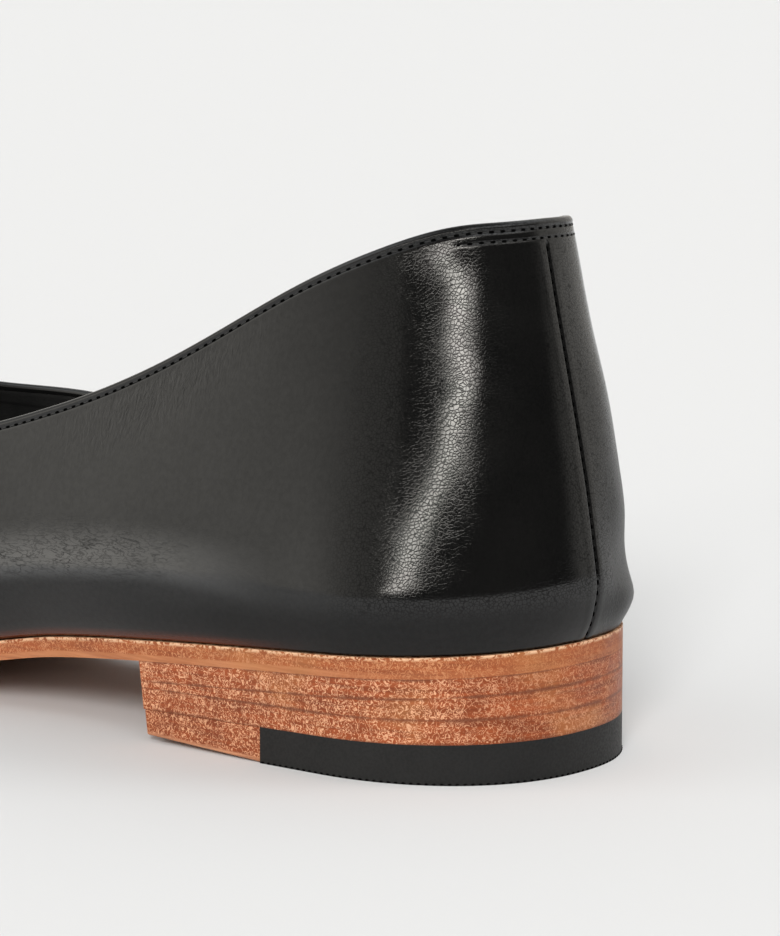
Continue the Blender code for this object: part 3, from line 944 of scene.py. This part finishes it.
class Nodes:
    """A short way to build a node tree."""

    def __init__(self, tree):
        self.tree = tree
        self.shader = tree.nodes.get("Principled BSDF")

    def add(self, kind, values=None, **settings):
        """A node with its settings made, and its inputs set to values or linked to sockets."""
        made = self.tree.nodes.new(kind)
        for key, value in settings.items():
            setattr(made, key, value)
        for key, value in (values or {}).items():
            self.feed(made.inputs[key], value)
        return made

    def feed(self, socket, value):
        """Sets an input to a value, or links it to an output."""
        if isinstance(value, bpy.types.NodeSocket):
            self.tree.links.new(value, socket)
        else:
            socket.default_value = value

    def set(self, **values):
        """Sets the shader's inputs, named with underscores for spaces."""
        for key, value in values.items():
            self.feed(self.shader.inputs[key.replace("_", " ")], value)

    def math(self, operation, first, second=0.0, third=0.0):
        """A math node's result."""
        return self.add("ShaderNodeMath", {0: first, 1: second, 2: third}, operation=operation).outputs[0]

    def total(self, *parts, start=0.0):
        """The sum of a starting value and of values given with their weights."""
        for value, weight in parts:
            start = self.math("MULTIPLY_ADD", value, weight, start)
        return start

    def product(self, first, *others):
        """The product of all the values."""
        for value in others:
            first = self.math("MULTIPLY", first, value)
        return first

    def rest(self, value):
        """What is left of 1."""
        return self.math("SUBTRACT", 1.0, value)

    def shift(self, operation, first, second):
        """A vector math node's result."""
        return self.add("ShaderNodeVectorMath", {0: first, 1: second}, operation=operation).outputs[0]

    def ramp(self, factor, stops):
        """Colours by a factor. stops are (place, colour)."""
        made = self.add("ShaderNodeValToRGB", {"Fac": factor})
        for element, (place, colour) in zip(made.color_ramp.elements, stops):
            element.position = place
            element.color = (*colour, 1)
        return made.outputs["Color"]

    def mix(self, factor, first, second):
        """A colour mixed with a plain one."""
        made = self.add("ShaderNodeMix", data_type="RGBA")
        self.feed(made.inputs[0], factor)
        self.feed(made.inputs[6], first)
        self.feed(made.inputs[7], (*second, 1))
        return made.outputs[2]

    def ranged(self, value, low, high, to_low=0.0, to_high=1.0):
        """A value carried from one range to another, smoothly and within it."""
        values = {"Value": value, "From Min": low, "From Max": high, "To Min": to_low, "To Max": to_high}
        return self.add("ShaderNodeMapRange", values, interpolation_type="SMOOTHSTEP").outputs["Result"]

    def window(self, value, low, high, soft):
        """1 between low and high, falling to 0 over the soft margins beside them."""
        return self.product(self.ranged(value, low - soft, low), self.ranged(value, high + soft, high))

    def lines(self, waves, inner, outer, strength=1.0):
        """Thin lines where waves pass their middle value."""
        away = self.math("ABSOLUTE", self.math("SUBTRACT", waves, 0.5))
        return self.ranged(away, inner, outer, strength, 0.0)

    def noise(self, vector, scale, detail=2.0, roughness=0.5, distortion=0.0):
        """A noise texture's value."""
        values = {"Vector": vector, "Scale": scale, "Detail": detail}
        values.update({"Roughness": roughness, "Distortion": distortion})
        return self.add("ShaderNodeTexNoise", values).outputs["Fac"]

    def cells(self, vector, scale):
        """Distance from the nearest border of a pattern of cells."""
        values = {"Vector": vector, "Scale": scale}
        return self.add("ShaderNodeTexVoronoi", values, feature="DISTANCE_TO_EDGE").outputs["Distance"]

    def object_place(self, stretch=(1, 1, 1)):
        """Places in the object's own metres, stretched."""
        place = self.add("ShaderNodeTexCoord").outputs["Object"]
        return self.add("ShaderNodeMapping", {"Vector": place, "Scale": stretch}).outputs["Vector"]

    def field(self, name):
        """A value stored on the mesh's points."""
        return self.add("ShaderNodeAttribute", attribute_name=name).outputs["Fac"]

    def bump(self, height, distance, strength=1.0, normal=None):
        """A bumped normal."""
        values = {"Height": height, "Distance": distance, "Strength": strength}
        if normal is not None:
            values["Normal"] = normal
        return self.add("ShaderNodeBump", values).outputs["Normal"]


def start_material(name):
    """A new material and its node tree."""
    material = bpy.data.materials.new(name)
    material.use_nodes = True
    return material, Nodes(material.node_tree)


def leather_grain(n, place, fine):
    """Grain of small warped cells: its height, and the flat tops between the grooves."""
    warp = n.add("ShaderNodeTexNoise", {"Vector": place, "Scale": 420.0, "Detail": 2.0}).outputs["Color"]
    warped = n.shift("ADD", place, n.shift("MULTIPLY", warp, (GRAIN_WARP, GRAIN_WARP, GRAIN_WARP)))
    cells = n.cells(warped, 1900.0)
    tops = n.ranged(cells, 0.01, 0.13)
    domes = n.ranged(cells, 0.0, 0.45)
    broad = n.noise(place, 420.0, 1.0)
    return n.total((tops, 0.8), (domes, 0.4), (fine, 0.10), (broad, 0.4)), tops


def leather_cracks(n, place):
    """Crackle of the painted sheen above the waist ridge: dense short lines and broken longer ones."""
    short = n.lines(n.noise(n.object_place((480.0, 480.0, 1300.0)), 1.0, 2.0, 0.5, 0.4), 0.0, 0.06, 0.6)
    long = n.lines(n.noise(n.object_place((200.0, 200.0, 1000.0)), 1.0, 3.0, 0.55, 0.5), 0.0, 0.03)
    broken = n.ranged(n.noise(place, 250.0, 2.0), 0.3, 0.6)
    return n.product(n.math("MAXIMUM", short, n.product(long, broken)), n.field("low_wrinkles"))


def leather_creases(n, cracks):
    """Height of the creases that run down from the topline and along the waist, and of the crackle."""
    plan = {"X": n.product(n.field("along"), 800.0), "Y": n.product(n.field("down"), 300.0)}
    downward = n.noise(n.add("ShaderNodeCombineXYZ", plan).outputs[0], 1.0, 3.0, 0.6, 1.6)
    downward = n.product(downward, n.field("top_wrinkles"))
    level = n.noise(n.object_place((240.0, 240.0, 1000.0)), 1.0, 2.0, 0.5, 0.8)
    level = n.product(level, n.field("low_wrinkles"))
    return n.total((downward, 1.3), (cracks, -0.14), (level, 0.5))


def leather_material():
    """Black smooth leather with a cell grain at the heel, fine creases and a crackled, painted sheen at the
    waist; painted shade in the grooves, the cracks and low on the wall; a painted reflection of the tan sole
    at its foot.
    """
    material, n = start_material("black grained leather")
    place = n.object_place()
    fine = n.noise(place, 3400.0, 2.0)
    patch = n.noise(place, 90.0, 3.0)
    cover = n.field("grain")
    grain, tops = leather_grain(n, place, fine)
    cracks = leather_cracks(n, place)
    depth = n.total((cover, 0.8), (n.field("low_wrinkles"), 0.9), (n.field("inner_grain"), 6.0), start=0.4)
    normal = n.bump(n.product(grain, depth), GRAIN_DEPTH)
    normal = n.bump(leather_creases(n, cracks), CREASE_DEPTH, 1.0, normal)
    black = n.ramp(patch, [(0.3, DEEP_BLACK), (0.7, SOFT_BLACK)])
    rough = n.ranged(n.total((fine, 0.3), start=patch), 0.35, 0.9, 0.08, 0.12)
    # Painted shade: reflection taken away in the grooves between the grain's cells and in the cracks
    groove_and_crack_shade = n.math("MAXIMUM", n.product(n.rest(tops), cover, 0.66), n.product(cracks, 0.5))
    speckle = n.ranged(n.noise(place, 1200.0, 3.0), 0.3, 0.7, 0.50, 0.57)
    # The base colour carries a painted reflection of the tan sole along the upper's foot
    n.set(Base_Color=n.mix(n.field("sole_reflection"), black, SOLE_REFLECTION_BROWN), Metallic=0.0, Normal=normal)
    n.set(Roughness=n.total((n.field("dull"), 0.24), start=rough))
    # Painted shade dims the reflection in the grooves and cracks, low on the wall and low on the inner heel;
    # the speckle varies it at random
    n.set(Specular_IOR_Level=n.product(n.rest(groove_and_crack_shade), n.field("shade"), speckle))
    # Painted sheen: extra coat gloss above the waist ridge, with painted shade where the cracks take it away
    n.set(Coat_Weight=n.product(n.field("painted_sheen"), n.rest(cracks)), Coat_Roughness=0.24, Coat_IOR=1.66)
    return material


def lining_material(name, roughness):
    """Black lining leather, smoother and duller than the upper."""
    material, n = start_material(name)
    place = n.object_place()
    pores = n.noise(place, 2200.0, 2.0)
    broad = n.noise(place, 140.0, 3.0)
    n.set(Base_Color=n.ramp(broad, [(0.3, (0.008, 0.008, 0.008)), (0.7, (0.014, 0.0135, 0.013))]))
    n.set(Roughness=n.ranged(pores, 0.3, 0.7, roughness - 0.06, roughness + 0.08))
    n.set(Normal=n.bump(n.total((broad, 2.0), start=pores), 0.08 * MM, 0.5))
    return material


def edge_material(name, edge):
    """Sanded leather edge: reddish brown with pale squiggles, dark joints and a plainer heel back."""
    material, n = start_material(name)
    place = n.object_place()
    level = n.field("level")
    ahead = n.math("SUBTRACT", n.add("ShaderNodeSeparateXYZ", {0: place}).outputs["X"], SHIFT[0])
    patch = n.noise(place, 260.0, 3.0)
    streaks = n.noise(n.object_place((1.0, 1.0, 22.0)), 70.0, 4.0, 0.6)
    curls = n.noise(place, 1350.0, 1.5, 0.5, 1.2)
    band = n.ranged(level, edge.plain_below - 0.05, edge.plain_below + 0.04, 1.0, 0.0)
    band = n.product(band, n.ranged(ahead, *BAND_GROWTH, 0.25, 1.0))
    back = n.ranged(ahead, *EDGE_CALM_END, 0.45, 0.0)
    squiggles = n.product(n.lines(curls, 0.014, 0.055), n.rest(n.math("MAXIMUM", band, back)))
    squiggles = n.product(squiggles, n.ranged(patch, 0.30, 0.60, 0.80, 1.0))
    base = n.ramp(n.total((streaks, 0.75), (patch, 0.25)), [(0.38, edge.dark), (0.58, edge.middle)])
    base = n.mix(n.product(band, n.ranged(streaks, 0.3, 0.7, 0.35, 0.75)), base, edge.pale)
    base = n.mix(n.ranged(n.noise(place, 75.0, 2.0), 0.48, 0.70, 0.0, 0.45), base, OCHRE)
    colour = n.mix(n.product(squiggles, edge.squiggles), base, edge.pale)
    rim = n.math("MINIMUM", level, n.rest(level))
    joint = n.ranged(n.total((patch, 0.26), start=rim), 0.10, 0.26, edge.joint, 0.0)
    colour = n.mix(joint, colour, JOINT_BROWN)
    fibres = n.product(n.ranged(level, 0.80, 0.95), n.ranged(curls, 0.42, 0.56), edge.fibres)
    n.set(Base_Color=n.mix(fibres, colour, FIBRE_PALE), Roughness=n.ranged(patch, 0.3, 0.7, 0.40, 0.55))
    n.set(Normal=n.bump(n.total((streaks, 0.6), start=squiggles), 0.03 * MM, 0.5), Metallic=0.0)
    n.set(Specular_IOR_Level=0.3)
    return material


def rubber_material():
    """Black moulded rubber with a faint dusty bloom."""
    material, n = start_material("black heel rubber")
    place = n.object_place()
    bloom = n.noise(place, 160.0, 4.0)
    pores = n.noise(place, 2600.0, 1.0)
    n.set(Base_Color=n.ramp(bloom, [(0.3, (0.0042, 0.0041, 0.0040)), (0.75, (0.007, 0.0069, 0.0066))]))
    n.set(Roughness=n.ranged(pores, 0.3, 0.7, 0.52, 0.66), Metallic=0.0)
    n.set(Normal=n.bump(pores, 0.02 * MM, 0.4), Specular_IOR_Level=0.4)
    return material


def thread_material():
    """Black waxed thread."""
    material, n = start_material("black thread")
    twist = n.noise(n.object_place(), 5200.0, 1.0)
    n.set(Base_Color=n.ramp(twist, [(0.3, (0.006, 0.006, 0.006)), (0.7, (0.016, 0.016, 0.016))]))
    n.set(Roughness=n.ranged(twist, 0.3, 0.7, 0.4, 0.6), Normal=n.bump(twist, 0.06 * MM, 0.6))
    return material


def hole_shade_material():
    """Painted shade: the dark, unreflecting inside of a needle hole or a notch."""
    material, n = start_material("painted hole shade")
    depth = n.noise(n.object_place(), 3000.0, 1.0)
    n.set(Base_Color=n.ramp(depth, [(0.3, (0.0008, 0.0008, 0.0008)), (0.7, (0.002, 0.002, 0.002))]))
    n.set(Roughness=1.0, Specular_IOR_Level=0.0)
    return material


def floor_material():
    """Plain pale studio floor."""
    material, n = start_material("pale floor")
    n.set(Base_Color=(*FLOOR_PALE, 1), Roughness=0.9, Specular_IOR_Level=0.0)
    return material


def make_floor():
    """A wide pale floor under the shoe."""
    bm = bmesh.new()
    bmesh.ops.create_circle(bm, cap_ends=True, radius=9, segments=64)
    mesh = bpy.data.meshes.new("studio_floor")
    bm.to_mesh(mesh)
    bm.free()
    mesh.materials.append(floor_material())
    new_object("studio_floor", mesh)


def panel_light(n, azimuth, rise, panel):
    """A panel's brightness seen in the direction of the azimuth and the rise."""
    leaning = n.total((rise, panel.lean), (n.product(rise, rise), panel.bend))
    across = n.math("SUBTRACT", azimuth, leaning)
    level = n.ranged(across, panel.azimuth[0], panel.azimuth[1], panel.first, panel.last)
    return n.product(n.window(across, *panel.azimuth), n.window(rise, *panel.rise), level)


def make_world():
    """The studio: a dim room with panels of light round the shoe and a wide one above it."""
    world = bpy.data.worlds.new("studio")
    bpy.context.scene.world = world
    world.use_nodes = True
    n = Nodes(world.node_tree)
    n.tree.nodes.clear()
    direction = n.add("ShaderNodeTexCoord").outputs["Generated"]
    x, y, z = n.add("ShaderNodeSeparateXYZ", {0: direction}).outputs
    azimuth = n.product(n.math("ARCTAN2", n.product(x, -1.0), y), math.degrees(1))
    rise = n.product(n.math("ARCSINE", z), math.degrees(1))
    light = ROOM_LIGHT
    for panel in PANELS:
        light = n.math("ADD", panel_light(n, azimuth, rise, panel), light)
    tint = n.mix(n.ranged(rise, *COOLING_RISE), (*WARM_LIGHT, 1), COOL_LIGHT)
    shade = n.add("ShaderNodeBackground", {"Color": tint, "Strength": light})
    n.add("ShaderNodeOutputWorld", {"Surface": shade.outputs[0]})


def direction_to(azimuth, rise):
    """The unit vector from the shoe towards the azimuth and the rise, in degrees."""
    turn, tilt = math.radians(azimuth), math.radians(rise)
    return Vector((-math.sin(turn) * math.cos(tilt), math.cos(turn) * math.cos(tilt), math.sin(tilt)))


def aim(obj, away):
    """Turns a lamp or the camera to look back along the vector."""
    obj.rotation_mode = "QUATERNION"
    obj.rotation_quaternion = (-away).to_track_quat("-Z", "Y")


def make_lamp(lamp):
    """A broad lamp turned to the shoe. The panels of the studio stand for it in the reflections."""
    data = bpy.data.lights.new(lamp.name, "SUN")
    data.angle = math.radians(lamp.breadth)
    data.energy = lamp.light
    obj = new_object(lamp.name, data)
    obj.location = direction_to(lamp.azimuth, lamp.rise)
    obj.visible_glossy = False
    obj.visible_camera = False
    aim(obj, obj.location)


def make_camera():
    """The photograph's view: close on the heel, from behind its outer side and a little above."""
    away = direction_to(CAMERA_AZIMUTH, CAMERA_RISE)
    data = bpy.data.cameras.new("camera")
    data.sensor_width = SENSOR
    data.lens = FOCAL_PIXELS / PHOTO_PIXELS * SENSOR
    data.clip_start, data.clip_end = 0.01, 50
    obj = new_object("camera", data)
    obj.location = Vector(CAMERA_TARGET + SHIFT) + CAMERA_DISTANCE * away
    aim(obj, away)
    bpy.context.scene.camera = obj


def main():
    """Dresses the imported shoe."""
    wall = make_upper(leather_material(), lining_material("black lining leather", 0.42))
    make_stitches(*wall, thread_material(), hole_shade_material())
    make_lifts(edge_material("stacked heel leather", STACKED))
    make_top_piece(edge_material("heel top piece leather", TOP_PIECE))
    make_rubber_tip(rubber_material(), hole_shade_material())
    make_outsole(edge_material("tan sole leather", TAN_SOLE))
    make_insole(lining_material("black sock leather", 0.5))
    make_floor()
    make_world()
    for lamp in LAMPS:
        make_lamp(lamp)
    make_camera()


bpy.context.scene.view_settings.view_transform = "Standard"
main()
